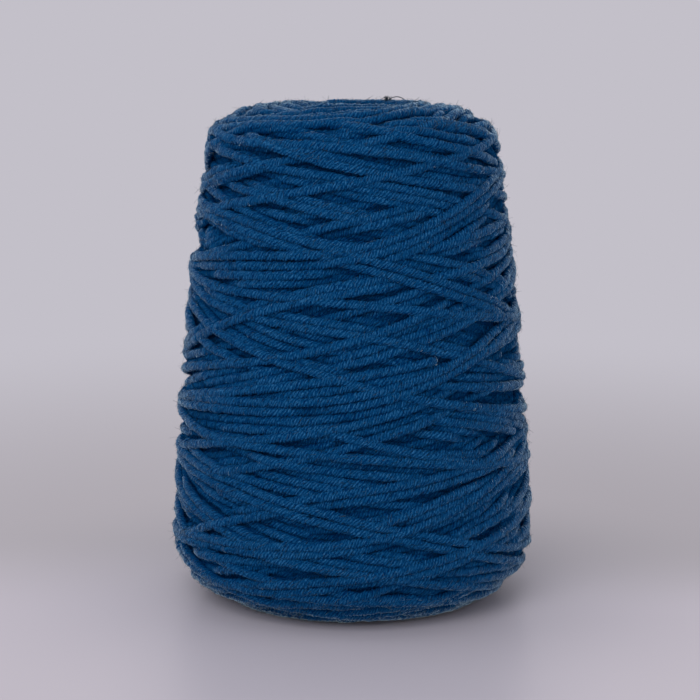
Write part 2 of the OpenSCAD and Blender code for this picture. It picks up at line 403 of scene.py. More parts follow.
class Winding:
    """A strand wound over the inner yarn, pass by pass, with the height of the package as it grows."""

    def __init__(self, outline, yarn, settings):
        self.outline, self.settings = outline, settings
        self.half_w, self.half_h = half_sizes(yarn)
        self.rng = np.random.default_rng(settings.seed)
        top = (outline.v - outline.side_high - THIN_TOP) / (outline.end - outline.side_high - THIN_TOP)
        bottom = (outline.side_low - THIN_BOTTOM - outline.v) / (outline.side_low - THIN_BOTTOM)
        ends = np.clip(top, 0, 1) + np.clip(bottom, 0, 1)
        depth, depth_ends = settings.depth / MM, settings.depth_ends / MM
        self.start = -depth + (depth - depth_ends) * ends
        self.height = np.repeat(self.start[None, :], COLUMNS, 0)
        self.moved = np.zeros_like(self.height)
        self.passes, self.under = [], []
        self.bands = {1: [], -1: []}

    def settle(self, target):
        """Presses wide lumps and hollows of the package a little nearer to the target."""
        blocks = -(-self.outline.rows // BLOCK)
        spare = blocks * BLOCK - self.outline.rows
        lump = np.pad(self.height - target, ((0, 0), (0, spare)), mode="edge")
        lump = lump.reshape(COLUMNS // BLOCK, BLOCK, blocks, BLOCK).mean((1, 3))
        for _ in range(2):
            lump = (np.roll(lump, 1, 0) + 2 * lump + np.roll(lump, -1, 0)) / 4
            edge = np.pad(lump, ((0, 0), (1, 1)), mode="edge")
            lump = (edge[:, :-2] + 2 * edge[:, 1:-1] + edge[:, 2:]) / 4
        lump = np.concatenate([lump[-1:], lump, lump[:1]])
        lump = in_between(lump.T, (np.arange(COLUMNS) + BLOCK / 2) / BLOCK).T
        place = (np.arange(self.outline.rows) - BLOCK / 2) / BLOCK
        move = -SETTLE * in_between(lump, np.clip(place, 0, blocks - 1))
        self.height += move
        self.moved += move

    def footprint(self, columns, v, lean):
        """Cells that a strand covers (columns, rows), how far out they lie, and its height there."""
        rows = row_of(v)[:, None] + np.arange(-REACH, REACH + 1)
        rows = np.clip(rows, 0, self.outline.rows - 1)
        off = ((rows * ROW - v[:, None]) * lean[:, None] / self.half_w) ** 2
        columns = np.broadcast_to((columns % COLUMNS)[:, None], rows.shape)
        return (columns, rows), off, self.half_h * np.sqrt(np.maximum(1 - off, 0))

    def lay(self, columns, v, before):
        """Lays one pass: the height of its middle line over the outline."""
        line = self.outline
        normal_r = line.at(v, line.normal_r)
        radius = line.at(v, line.r) + normal_r * self.height[columns % COLUMNS, row_of(v)]
        rise, run = np.gradient(v), radius * TURN
        step = np.hypot(run, rise)
        lean, climb = run / step, rise / step
        mid = 0.5 * (step[1:] + step[:-1])
        x = np.r_[0, np.cumsum(mid)]
        cells, off, dome = self.footprint(columns, v, lean)
        held = np.where(off < NEST, self.height[cells] + dome, NOWHERE).max(1) - SINK
        held -= SQUASH * np.maximum(held - smooth(held, SQUASH_REACH), 0)
        if before is not None:
            held[0] = before
        curve = lean**2 * normal_r / radius + climb**2 * line.at(v, line.bend)
        curve = np.maximum(curve, LEAST_BEND * lean**2 / radius)
        slope = np.r_[0, np.cumsum(0.5 * (curve[1:] + curve[:-1]) * mid)]
        fall = np.r_[0, np.cumsum(0.5 * (slope[1:] + slope[:-1]) * mid)]
        touched = sag_line(x, held - fall)
        centre = np.interp(x, x[touched], (held - fall)[touched]) + fall
        centre = np.minimum(centre, smooth(held, DRAPE_REACH) + DRAPE)
        centre = smooth(centre, STIFFNESS)
        if before is not None:
            centre += (before - centre[0]) * np.exp(-np.arange(len(centre)) / HEIGHT_JOIN)
        np.maximum.at(self.height, cells, np.where(off < 1, centre[:, None] + dome, NOWHERE))
        return centre, lean

    def reversal(self, band, strand, shift, time):
        """v at which a strand of a band turns back: the lowest place within its zone."""
        line, upward = self.outline, band.direction == 1
        inner = line.end - IN_TOP if upward else IN_BOTTOM
        outer = line.side_high + OUT_TOP if upward else line.side_low - OUT_BOTTOM
        target = self.start * (1 - time)
        arc = np.arange(0, int(ARC * COLUMNS), SKIP)
        best, lowest = inner, math.inf
        for v in np.linspace(inner, outer, PLACES):
            first = int((band.turn_at(strand, v) + shift) * COLUMNS)
            row = row_of(v)
            rows = slice(max(row - NEAR_ROWS, 0), row + NEAR_ROWS + 1)
            level = (self.height[(first + arc) % COLUMNS, rows] - target[rows]).mean()
            level += self.rng.random() * PLACE_JITTER
            if level < lowest:
                best, lowest = v, level
        return best

    def new_band(self, direction):
        """Opens a band in that direction."""
        band = Band(self.rng, direction, self.outline, self.settings)
        self.bands[direction].append(band)
        return band

    def next_strand(self, direction, v, turn):
        """The strand that the pass reversing at v and turn goes on with: (band, number, shift, dwell)."""
        least, most = DWELL
        best, best_cost = None, math.inf
        ready = [band for band in self.bands[direction] if band.count < band.size]
        for band in ready:
            need = band.turn_at(band.count, v)
            shift = math.ceil(turn + least - need)
            dwell = need + shift - turn
            cost = dwell + self.rng.random() * DWELL_JITTER
            if dwell < most and cost < best_cost:
                best, best_cost = (band, band.count, shift, dwell), cost
        if best is not None and len(ready) >= OPEN_BANDS:
            return best
        band = self.new_band(direction)
        best_cost = math.inf
        for dwell in np.linspace(least, most, TRIES):
            columns = np.arange(0, int(BAND_FELT / band.climb * COLUMNS), SKIP)
            rows = row_of(v + direction * band.climb * columns / COLUMNS)
            rows = np.clip(rows, 0, self.outline.rows - 1)
            columns = (int((turn + dwell) * COLUMNS) + columns) % COLUMNS
            cost = self.height[columns, rows].mean() + DWELL_COST * dwell
            if cost < best_cost:
                best, best_cost = dwell, cost
        band.start = turn + best - (v - self.outline.middle) / (band.climb * direction)
        return band, 0, 0.0, best

    def turn_back(self, v_turn, direction, off, way_in, way_out):
        """v of a pass that comes in on one way, turns back at v_turn and goes out on the other."""
        lead = 1 / (1 + np.exp(np.clip(off / SWITCH, -SWITCH_END, SWITCH_END)))
        far = direction * (v_turn - way_in) * lead + direction * (v_turn - way_out) * (1 - lead)
        cap = REVERSAL_CAP * np.minimum(np.abs(off) / CAP_RUN, CAP_MOST) ** 2
        cap *= np.exp(-((off / CAP_FADE) ** 2))
        far = REVERSAL_SOFT * np.logaddexp(cap / REVERSAL_SOFT, far / REVERSAL_SOFT)
        return v_turn - direction * far

    def wind(self):
        """Winds every pass. A pass goes from mid-height over a reversal and back to mid-height."""
        rng, total = self.rng, self.settings.passes
        band, strand, shift = self.new_band(1), 0, 0.0
        band.count = 1
        first = round(band.turn_at(0, self.outline.middle) * COLUMNS)
        before = None
        for n in range(total):
            direction = band.direction
            v_turn = self.reversal(band, strand, shift, n / (total - 1))
            t_in = band.turn_at(strand, v_turn) + shift
            following, number, moved, dwell = self.next_strand(-direction, v_turn, t_in)
            following.count += 1
            last = round((following.turn_at(number, self.outline.middle) + moved) * COLUMNS)
            columns = np.arange(first, last + 1)
            turns = columns / COLUMNS
            ways = band.way(strand, shift, turns), following.way(number, moved, turns)
            v = self.turn_back(v_turn, direction, turns - t_in - 0.5 * dwell, *ways)
            wobble = 0
            for size, waves in (WOBBLE, TREMBLE):
                waves = rng.uniform(*waves)
                wobble = wobble + size * np.sin(2 * math.pi * (turns * waves + rng.random()))
            v += wobble * np.sin(math.pi * np.linspace(0, 1, len(turns)))
            v = smooth(v, WAY_SOFT)
            if self.passes:
                jump = self.passes[-1]["v"][-1] - v[0]
                v += jump * np.exp(-np.arange(len(v)) / WAY_JOIN)
            v = np.clip(v, EDGE, self.outline.end - EDGE)
            centre, lean = self.lay(columns, v, before)
            centre = centre - self.moved[columns % COLUMNS, row_of(v)]
            self.passes.append({"columns": columns, "v": v, "centre": centre, "lean": lean})
            self.settle(self.start * (1 - (n + 1) / total))
            before = centre[-1] + self.moved[columns[-1] % COLUMNS, row_of(v[-1])]
            first, band, strand, shift = last, following, number, moved
        for one in self.passes:
            place = one["v"] / ROW
            low = np.minimum(place.astype(int), self.outline.rows - 2)
            part = place - low
            moved = self.moved[one["columns"] % COLUMNS]
            each = np.arange(len(place))
            one["centre"] += moved[each, low] * (1 - part) + moved[each, low + 1] * part
        return self

    def tighten(self):
        """Presses the crossings into each other and evens out what is left of the lumps."""
        wide = blur(self.height, EVEN_REACH)
        for one in self.passes:
            level = wide[one["columns"] % COLUMNS, row_of(one["v"])]
            proud = RELIEF * (one["centre"] - level)
            shallow = proud * (1 - EASED * np.exp(-((proud / EASED_REACH) ** 2)))
            proud = np.where(proud > 0, PROUD * np.tanh(proud / PROUD), shallow)
            one["centre"] = smooth(LUMPS * level + proud, PRESS_SOFT) - DROP
        bare = LUMPS * wide + RELIEF * (self.start + self.moved - wide) - DROP
        self.height = bare.copy()
        self.raise_to(self.passes)
        self.close_gaps(bare)
        return self

    def close_gaps(self, bare):
        """Lays an even layer under the others, so that every gap between them ends on yarn."""
        line = self.outline
        climb = 2 * math.pi * MEAN_R * math.tan(UNDER_ANGLE)
        starts = round(climb / UNDER_SPACE)
        level = blur(self.height, EVEN_REACH) - UNDER_DEPTH - self.half_h
        level = np.maximum(level, bare + UNDER_CLEAR * self.half_h)
        for start in range(starts):
            columns = np.arange(int((line.end - 2 * UNDER_EDGE) / climb * COLUMNS))
            v = UNDER_EDGE + climb * columns / COLUMNS
            columns = round(start * COLUMNS / starts) - columns
            centre = smooth(level[columns % COLUMNS, row_of(v)], UNDER_SOFT)
            run = line.at(v, line.r) * TURN
            lean = run / np.hypot(run, climb / COLUMNS)
            self.under.append({"columns": columns, "v": v, "centre": centre, "lean": lean})
        self.raise_to(self.under)
        self.mean = blur(self.height, MEAN_REACH)

    def tops(self, one):
        """Cells that a laid pass covers, and the height of its upper face there."""
        cells, off, dome = self.footprint(one["columns"], one["v"], one["lean"])
        return cells, np.where(off < UPPER_FACE, one["centre"][:, None] + dome, NOWHERE)

    def raise_to(self, passes):
        """Raises the height map to the tops of those passes."""
        for one in passes:
            np.maximum.at(self.height, *self.tops(one))

    def shows(self, one, depth):
        """Where a pass comes within a depth of the package's surface."""
        cells, top = self.tops(one)
        return (top > self.height[cells] - depth).any(1)


@functools.lru_cache(maxsize=1)
def wound():
    """The winding of the present settings."""
    cone = bpy.context.scene.yarn_cone
    return Winding(Outline(cone.package), cone.yarn, cone.winding).wind().tighten()


# ------------------------------------------- meshes of yarn, in millimetres

PLY_PROFILE = (0.0, 0.9, 0.9)  # points round a ply, from its groove (0) to its crest (1)
TWIST_WANDER = 0.8, 14.0  # how unevenly the strand is twisted, in radians, and over what length
PLY_SLIDE = 0.14, 1.6  # how far plies crowd their neighbours, the same way
SLIDE_MOST = 0.26  # and how far at most
PLY_SWELL = 0.08, 1.3  # how unevenly thick each ply is, as a share, and over what length
THICK_WANDER = 0.03, 5.0  # the same for the whole strand
ROUGH = 0.028  # fine unevenness of the surface
PRESSED = 2.1  # how square the strand is pressed by its neighbours; 2 is round
TWIST_SEED, SURFACE_SEED, END_SEED = 5, 6, 8
WAVES, WAVE_SPAN = 4, (0.25, 0.8)  # waves that add up to an uneven line, and how many fit its reach
SHADE_HEIGHTS = (-2.3, 0.3)  # heights over the mean surface with the most and with no painted shade
DEEP_SHADE = 0.43  # painted shade: how much of the light tone is lost at the deepest
FLANK_SHADE = 0.3  # painted shade: how much of it is lost at the sides of a strand
GROOVE_SHADE = 0.6  # painted shade: how much of it is lost in the groove between two plies
SOFT, FIBRE_SOFT = 0.38, 0.95  # how far normals of the strand and of fibres turn to the outside
FUZZ_FROM = -0.35  # height over the mean surface from which faces take the lit copy of the finish, with sheen; lower faces take its shaded copy without sheen
SHOWN_DEPTH = 1.0  # a strand this far below the surface still shows
SHOWN_PAST = 4.5  # how far a stretch goes on under what hides it
DIVE, DIVE_RUN = 1.6, 4.0  # how deep the ends of a stretch sink, and over what length
LONGEST, SHORTEST = 3000, 5  # rings in one stretch
FLOOR_GAP = 0.12  # lowest point of a strand over the floor
FLOOR_SOFT = 0.25  # how softly the floor presses it up
PATH_SOFT, RISE_SOFT = 1.0, 2.0  # rings over which its line and its height are evened out
MOST_FACES = 190_000  # triangles in one piece
STRETCH_STEP, FIBRE_STEP = 37.0, 3.7  # how far apart stretches and fibres lie in the finish's noise


class Path:
    """Every run of the strand at even steps, with where it shows."""

    def __init__(self, winding, yarn):
        self.step = yarn.ring_step / MM
        parts = [self.follow(winding, winding.passes)]
        parts += [self.follow(winding, [one]) for one in winding.under]
        joined = [np.concatenate(part) for part in zip(*parts)]
        self.points, self.normals, self.rise, self.near, self.shown = joined
        self.along = np.gradient(self.points, axis=0)
        self.run = np.arange(len(self.points)) * self.step

    def follow(self, winding, passes):
        """Points, normals, rise over the mean surface, where it shows and what is built of it."""
        line = winding.outline
        join = [slice(None)] + [slice(1, None)] * (len(passes) - 1)
        columns, v, centre = (
            np.concatenate([one[key][s] for one, s in zip(passes, join)])
            for key in ("columns", "v", "centre")
        )
        shown = np.concatenate(
            [winding.shows(one, SHOWN_DEPTH)[s] for one, s in zip(passes, join)]
        )
        turn = columns * TURN
        rise = centre - winding.mean[columns % COLUMNS, row_of(v)]
        normal = np.stack([line.at(v, line.normal_r), line.at(v, line.normal_z)])
        r = line.at(v, line.r) + normal[0] * centre
        z = line.at(v, line.z) + normal[1] * centre
        lowest = winding.half_h + FLOOR_GAP
        z = lowest + FLOOR_SOFT * np.logaddexp(0, (z - lowest) / FLOOR_SOFT)
        points = np.stack([r * np.cos(turn), r * np.sin(turn), z], 1)
        normals = np.stack([normal[0] * np.cos(turn), normal[0] * np.sin(turn), normal[1]], 1)
        run = np.r_[0, np.cumsum(np.linalg.norm(np.diff(points, axis=0), axis=1))]
        even = np.arange(0, run[-1], self.step)
        points = np.stack([smooth(np.interp(even, run, c), PATH_SOFT) for c in points.T], 1)
        normals = np.stack([np.interp(even, run, c) for c in normals.T], 1)
        near = np.interp(even, run, shown.astype(float)) > 0
        rise = smooth(np.interp(even, run, rise), RISE_SOFT)
        past = int(SHOWN_PAST / self.step)
        built = np.convolve(near, np.ones(2 * past + 1), "same") > 0.5
        # The path's direction isn't true where one run is joined to the next
        built[[0, 1, -2, -1]] = False
        ring = np.arange(len(even))
        before = np.maximum.accumulate(np.where(built, 0, ring))
        after = np.minimum.accumulate(np.where(built, len(ring), ring)[::-1])[::-1]
        left = np.minimum(ring - before, after - ring) * self.step
        dive = DIVE * np.clip(1 - left / DIVE_RUN, 0, 1) ** 2
        points = points - dive[:, None] * normals
        points[:, 2] = np.maximum(points[:, 2], lowest)
        return points, normals, rise, near, built

    def stretches(self):
        """First and last ring of each stretch that shows."""
        edge = np.flatnonzero(np.diff(np.r_[0, self.shown.astype(int), 0]))
        cut = [(a, min(a + LONGEST + 1, end)) for begin, end in edge.reshape(-1, 2)
               for a in range(begin, end - 1, LONGEST)]
        return [(a, b) for a, b in cut if b - a >= SHORTEST]


@functools.lru_cache(maxsize=1)
def strand_path():
    """The strand of the present settings."""
    return Path(wound(), bpy.context.scene.yarn_cone.yarn)


def unit(vectors):
    """The same directions with a length of 1."""
    return vectors / np.maximum(np.linalg.norm(vectors, axis=-1, keepdims=True), 1e-6)


def axes(along, normals):
    """Directions along a line, across it, and out of it on the side of the normals."""
    along = unit(along)
    across = unit(np.cross(along, normals))
    return along, across, np.cross(across, along)


def circle(sides):
    """Points of a circle of radius 1."""
    turn = 2 * math.pi * np.arange(sides) / sides
    return np.stack([np.cos(turn), np.sin(turn)], -1)


def new_mesh(name, materials, points, *faces):
    """A smooth mesh of points and of arrays of faces, each array with its own number of corners."""
    mesh = bpy.data.meshes.new(name)
    for material in materials:
        mesh.materials.append(material)
    points = points.reshape(-1, 3) * MM
    corners = np.concatenate([part.ravel() for part in faces])
    sizes = np.concatenate([np.full(len(part), part.shape[1]) for part in faces])
    mesh.vertices.add(len(points))
    mesh.vertices.foreach_set("co", points.astype(np.float32).ravel())
    mesh.loops.add(len(corners))
    mesh.loops.foreach_set("vertex_index", corners.astype(np.int32))
    mesh.polygons.add(len(sizes))
    mesh.polygons.foreach_set("loop_start", (np.cumsum(sizes) - sizes).astype(np.int32))
    mesh.update(calc_edges=True)
    mesh.validate()
    mesh.polygons.foreach_set("use_smooth", np.ones(len(sizes), bool))
    return mesh


def store(mesh, name, kind, field, values):
    """Gives each point of a mesh a value under that name."""
    data = mesh.attributes.new(name, kind, "POINT").data
    data.foreach_set(field, values.astype(np.float32).ravel())


def dress(mesh, corners, spot, ridge, out, soft):
    """Gives a mesh its map and what its finish reads, and turns its normals by soft towards out."""
    mesh.uv_layers.new(name="OFBake").data.foreach_set("uv", corners.astype(np.float32).ravel())
    store(mesh, "spot", "FLOAT_VECTOR", "vector", spot)
    # ridge carries the tone that the finish reads, with the painted shade of the strands
    store(mesh, "ridge", "FLOAT", "value", ridge)
    normals = np.empty(len(mesh.vertices) * 3, np.float32)
    mesh.vertex_normals.foreach_get("vector", normals)
    normals = unit((1 - soft) * normals.reshape(-1, 3) + soft * out.reshape(-1, 3))
    store(mesh, "custom_normal", "FLOAT_VECTOR", "vector", normals)


def wander(rng, run, size, reach, lines):
    """Smooth random lines along run of that mean size, which turn back every reach mm or so."""
    out = np.zeros((len(run), lines))
    for _ in range(WAVES):
        waves = rng.uniform(*WAVE_SPAN, lines) / reach
        out += np.sin(2 * math.pi * (run[:, None] * waves + rng.random(lines)))
    return size * (out / math.sqrt(WAVES / 2))


def ply_turns(path, rings, yarn):
    """Angle of each point of each ring, which follows the uneven twist of the plies."""
    rng = np.random.default_rng(TWIST_SEED)
    sides = yarn.plies * len(PLY_PROFILE)
    run = path.run[rings]
    twist = 2 * math.pi * run / (yarn.lay / MM) + wander(rng, run, *TWIST_WANDER, 1)[:, 0]
    slide = np.clip(wander(rng, run, *PLY_SLIDE, yarn.plies), -SLIDE_MOST, SLIDE_MOST)
    slide = np.repeat(slide, len(PLY_PROFILE), axis=1)
    return 2 * math.pi * np.arange(sides) / sides + twist[:, None] + slide


def strand_points(path, rings, yarn):
    """Rings of points of the plied strand, the way out, the tone with its painted shade and the height at
    each.
    """
    rng = np.random.default_rng(SURFACE_SEED)
    _, across, out = axes(path.along[rings], path.normals[rings])
    run = path.run[rings]
    thick = 1 + wander(rng, run, *THICK_WANDER, 1)
    swell = 1 + wander(rng, run, *PLY_SWELL, yarn.plies)
    swell = np.repeat(swell, len(PLY_PROFILE), axis=1)
    turn = ply_turns(path, rings, yarn)
    crest = np.tile(PLY_PROFILE, yarn.plies)
    rough = 1 + ROUGH * rng.normal(size=turn.shape)
    ridge = (1 - yarn.groove * (1 - crest))[None, :] * thick * swell * rough
    ridge *= (abs(np.cos(turn)) ** PRESSED + abs(np.sin(turn)) ** PRESSED) ** (-1 / PRESSED)
    half_w, half_h = half_sizes(yarn)
    points = path.points[rings][:, None, :]
    points = points + (half_w * np.cos(turn) * ridge)[..., None] * across[:, None, :]
    points = points + (half_h * np.sin(turn) * ridge)[..., None] * out[:, None, :]
    up = np.sin(turn)
    level = path.rise[rings][:, None] + half_h * up
    # Painted shade: the tone darkens with depth below the mean surface, on the sides of the strand and in
    # the grooves between plies
    lit = 1 - DEEP_SHADE * (1 - np.clip((level - SHADE_HEIGHTS[0]) / (SHADE_HEIGHTS[1] - SHADE_HEIGHTS[0]), 0, 1))
    lit *= 1 - FLANK_SHADE * (1 - np.maximum(up, 0))
    tone = (1 - GROOVE_SHADE * (1 - crest)) * lit
    return points, np.broadcast_to(out[:, None, :], points.shape), tone, level


def strand_mesh(name, path, stretches, yarn, materials):
    """One mesh for some stretches of the strand, with a lit copy of the finish for raised faces and a
    shaded copy, without sheen, for the others and the ends.
    """
    sides = yarn.plies * len(PLY_PROFILE)
    rings = np.concatenate([np.arange(a, b) for a, b in stretches])
    points, out, tone, level = strand_points(path, rings, yarn)
    sizes = np.array([b - a for a, b in stretches])
    first = np.cumsum(sizes) - sizes
    low = np.concatenate([np.arange(n - 1) + f for n, f in zip(sizes, first)])[:, None] * sides
    high = low + sides
    side = np.arange(sides)
    following = np.roll(side, -1)
    quads = np.stack([low + following, low + side, high + side, high + following], -1)
    quads = quads.reshape(-1, 4)
    start, end = first[:, None] * sides, (first + sizes - 1)[:, None] * sides
    caps = np.stack([start + side, end + side[::-1]], 1).reshape(-1, sides)
    mesh = new_mesh(name, materials, points, quads, caps)
    # Painted shade: faces between strands and the ends take the shaded copy without sheen; raised faces
    # take the lit copy with it
    fuzzy = level.ravel()[quads].mean(1) > FUZZ_FROM
    dull = np.r_[~fuzzy, np.ones(len(caps), bool)]
    mesh.polygons.foreach_set("material_index", dull.astype(np.int32))
    spot = np.empty((len(rings), sides, 3))
    spot[..., :2] = half_sizes(yarn)[1] * circle(sides)
    runs = [path.run[a:b] - path.run[a] + STRETCH_STEP * n for n, (a, b) in enumerate(stretches)]
    spot[..., 2] = np.concatenate(runs)[:, None]
    dress(mesh, strip_map(path.run[rings], sizes, sides, yarn), spot, tone, out, SOFT)
    return mesh


STRIP_GAP = 0.8  # bare map between strips
CAP_ROOM = 1.4  # map length that an end takes
CAP_R = 0.4  # radius of an end's disc, as a share of that


def strip_map(run, sizes, sides, yarn):
    """Map corners for strand_mesh: strips side by side in the unit square, each end a small disc."""
    around = math.pi * (yarn.width + yarn.height) / 2 / MM
    pitch = around + STRIP_GAP
    last = np.cumsum(sizes) - 1
    within = np.ones(len(run) - 1, bool)
    within[last[:-1]] = False
    tape = CAP_ROOM + np.r_[0, np.cumsum(np.where(within, np.diff(run), 2 * CAP_ROOM))]
    total = tape[-1] + CAP_ROOM
    margin = 2 * CAP_ROOM
    square = math.sqrt(total * pitch)
    while int(square / pitch) * (square - 2 * margin) < total + pitch:
        square *= 1.01
    usable = square - 2 * margin

    def place(at):
        strip = np.floor(at / usable)
        return strip * pitch + STRIP_GAP / 2, at - strip * usable + margin

    low, high = tape[:-1][within], tape[1:][within]
    x, y = place(low)
    x = x[:, None] + around * np.arange(sides) / sides
    nx = x + around / sides
    y0 = np.broadcast_to(y[:, None], x.shape)
    y1 = y0 + (high - low)[:, None]
    quads = np.stack([nx, y0, x, y0, x, y1, nx, y1], -1).reshape(-1, 2)
    ends = np.stack([tape[last - sizes + 1] - CAP_ROOM / 2, tape[last] + CAP_ROOM / 2], 1)
    x, y = place(ends.ravel())
    caps = np.stack([x + around / 2, y], -1)[:, None, :] + CAP_R * CAP_ROOM * circle(sides)
    return np.concatenate([quads, caps.reshape(-1, 2)]) / square


FIBRE_POINTS, FIBRE_SIDES = 4, 3  # points along a loose fibre, and round it
FIBRE_ROOTS = 0.05, 0.95  # where fibres start, in half turns over the strand's outer face
FIBRE_SEAT = 0.93  # how far out of the strand's middle they start, as a share
FIBRE_LEAN = 0.75, 0.5  # mean angle between a fibre and the strand, in radians, and its spread
# Its usual size, the spread of the size's logarithm, and the most, in times the usual
FIBRE_REACH = 1.5, 0.45, 2.0  # how far a fibre goes
FIBRE_LIFT = 0.13, 0.6, 2.5  # how far it stands off
FIBRE_CURL = 0.09  # how far it curls, as a share of how far it goes
ARCHED, ARCH, BEND = 0.5, 3.2, 1.4  # share that arches, four times its height, power of the others
FIBRE_R = 0.05  # its radius at the root
FIBRE_R_SPREAD, FIBRE_TAPER = (0.7, 1.3), 0.55  # how much that varies, and what the tip loses
FIBRE_TONES = 0.5, 1.0  # darkest and lightest fibre
LEAST_Z = 0.1  # lowest point of a fibre over the floor
SKEW = np.array([0.31, 0.52, 0.79])  # a direction that hardly any fibre follows


def loose_fibres(path, yarn, number, rng):
    """Middle lines, radii, ways out and tones of fibres that rise from the strand where it shows."""
    root = rng.choice(np.flatnonzero(path.near & path.shown), number)
    along, across, out = axes(path.along[root], path.normals[root])
    turn = rng.uniform(*FIBRE_ROOTS, number)[:, None] * math.pi
    half_w, half_h = half_sizes(yarn)
    away = np.cos(turn) * across + np.sin(turn) * out
    edge = half_w * np.cos(turn) * across + half_h * np.sin(turn) * out
    start = path.points[root] + FIBRE_SEAT * edge
    lean = rng.normal(*FIBRE_LEAN, number)[:, None]
    course = np.cos(lean) * along + np.sin(lean) * np.cross(away, along)
    course *= rng.choice([-1, 1], number)[:, None]
    reach, lift = (
        usual * np.minimum(rng.lognormal(0, spread, number), most)[:, None, None]
        for usual, spread, most in (FIBRE_REACH, FIBRE_LIFT)
    )
    part = np.linspace(0, 1, FIBRE_POINTS)[:, None]
    arched = (rng.random(number) < ARCHED)[:, None, None]
    rise = np.where(arched, ARCH * part * (1 - part), part**BEND)
    curl = rng.normal(0, FIBRE_CURL, (number, 1, 3)) * reach * part**2
    lines = start[:, None] + reach * part * course[:, None] + lift * rise * away[:, None] + curl
    lines[..., 2] = np.maximum(lines[..., 2], LEAST_Z)
    radii = FIBRE_R * rng.uniform(*FIBRE_R_SPREAD, number)[:, None] * (1 - FIBRE_TAPER * part.T)
    return lines, radii, out, rng.uniform(*FIBRE_TONES, number)


END_POINTS, END_SIDES = 12, 6  # points along a fibre of the loose end, and round it
END_NEAR = 4.0  # how far round its place the highest turn is looked for
END_SUNK = 0.2  # how deep its root lies in that turn
END_ROOTS, END_TIPS = (0.5, 0.3, 0.1), (0.35, 0.3, 0.2)  # how far apart fibres start and end
END_SLANT, END_CURL = 0.12, 0.3  # how far they lean to the right, and how far they curl
END_R, END_TAPER = (0.07, 0.12), 0.4  # their radii, and what the tips lose
# The filament that arches off: its start from the root, its run along Y, its radius
FILAMENT_START, FILAMENT_Y, FILAMENT_R = (0.5, 0, 0), -0.6, 0.13
# A thinner one: its start, its run along X and Y, its radius, its rise as a share of the end's, its bow
WHISKER_START, WHISKER_RUN, WHISKER_R = (-1.6, 0, 0.1), (1.6, 0.2), 0.07
WHISKER_RISE, WHISKER_BOW = 0.9, (-0.5, 0, 1)
END_TONE, FILAMENT_TONE = 1.5, 0.5  # how light the frayed fibres are, lifted towards the painted highlight colour, and the filaments, darkened with painted shade as in back light
END_AWAY = (0.0, -0.6, 0.8)  # where the end's normals turn to


def loose_end(path, yarn, end, rng):
    """Lines, radii, ways out and tones of the frayed end and of two filaments that leave it."""
    place = np.array([end.place_x, end.place_y]) / MM
    here = path.near & (np.hypot(*(path.points[:, :2] - place).T) < END_NEAR)
    highest = path.points[here, 2].max() + half_sizes(yarn)[1]
    root = np.array([*place, highest - END_SUNK])
    part = np.linspace(0, 1, END_POINTS)[:, None]
    number, tall = end.fibres, end.tall / MM
    start = root + rng.normal(0, 1, (number, 1, 3)) * END_ROOTS
    spread = rng.normal(0, 1, (number, 1, 3)) * END_TIPS + (END_SLANT, 0, tall)
    curl = rng.normal(0, END_CURL, (number, 1, 3)) * part * (1 - part)
    lines = start + part * spread + curl
    radii = rng.uniform(*END_R, (number, 1)) * (1 - END_TAPER * part.T)
    span, rise = end.span / MM, end.rise / MM
    arch = root + part * (span, FILAMENT_Y, 0.0) + 4 * rise * part * (1 - part) * (0, 0, 1)
    arch += FILAMENT_START
    whisker = root + part * (*WHISKER_RUN, WHISKER_RISE * tall) + WHISKER_START
    whisker = whisker + part * (1 - part) * WHISKER_BOW
    lines = np.concatenate([lines, arch[None], whisker[None]])
    thick = [np.full((1, END_POINTS), radius) for radius in (FILAMENT_R, WHISKER_R)]
    tones = np.r_[np.full(number, END_TONE), FILAMENT_TONE, FILAMENT_TONE]
    return lines, np.concatenate([radii, *thick]), np.tile(END_AWAY, (len(lines), 1)), tones


def tubes_mesh(name, material, sides, centres, radii, away, tones):
    """Closed tubes round the lines centres[n], each with a map cell and a tone of its own."""
    number, points = centres.shape[:2]
    _, across, out = axes(np.gradient(centres, axis=1), SKEW)
    ring = circle(sides)
    shape = ring[:, :1] * across[:, :, None] + ring[:, 1:] * out[:, :, None]
    shape = centres[:, :, None] + radii[:, :, None, None] * shape
    index = np.arange(number * points * sides).reshape(number, points, sides)
    low, high = index[:, :-1], index[:, 1:]
    quads = np.stack([low, np.roll(low, -1, 2), np.roll(high, -1, 2), high], -1)
    caps = np.stack([index[:, 0, ::-1], index[:, -1]], 1)
    mesh = new_mesh(name, [material], shape, quads.reshape(-1, 4), caps.reshape(-1, sides))
    run = np.cumsum(np.r_[0, np.linalg.norm(np.diff(centres[0], axis=0), axis=1)])
    spot = np.zeros((number, points, sides, 3))
    spot[..., 2] = run[:, None] + FIBRE_STEP * np.arange(number)[:, None, None]
    tones, away = (np.repeat(values, points * sides, axis=0) for values in (tones, away))
    dress(mesh, cell_map(number, points, sides), spot, tones, away, FIBRE_SOFT)
    return mesh


CELL_EDGE = 0.05  # bare edge of a map cell, as shares of its size from here on
CELL_W, CELL_H = 0.6, 0.9  # size of the side of a tube
CELL_ENDS, CELL_END_R = ((0.82, 0.25), (0.82, 0.75)), 0.12  # places and radius of its two ends


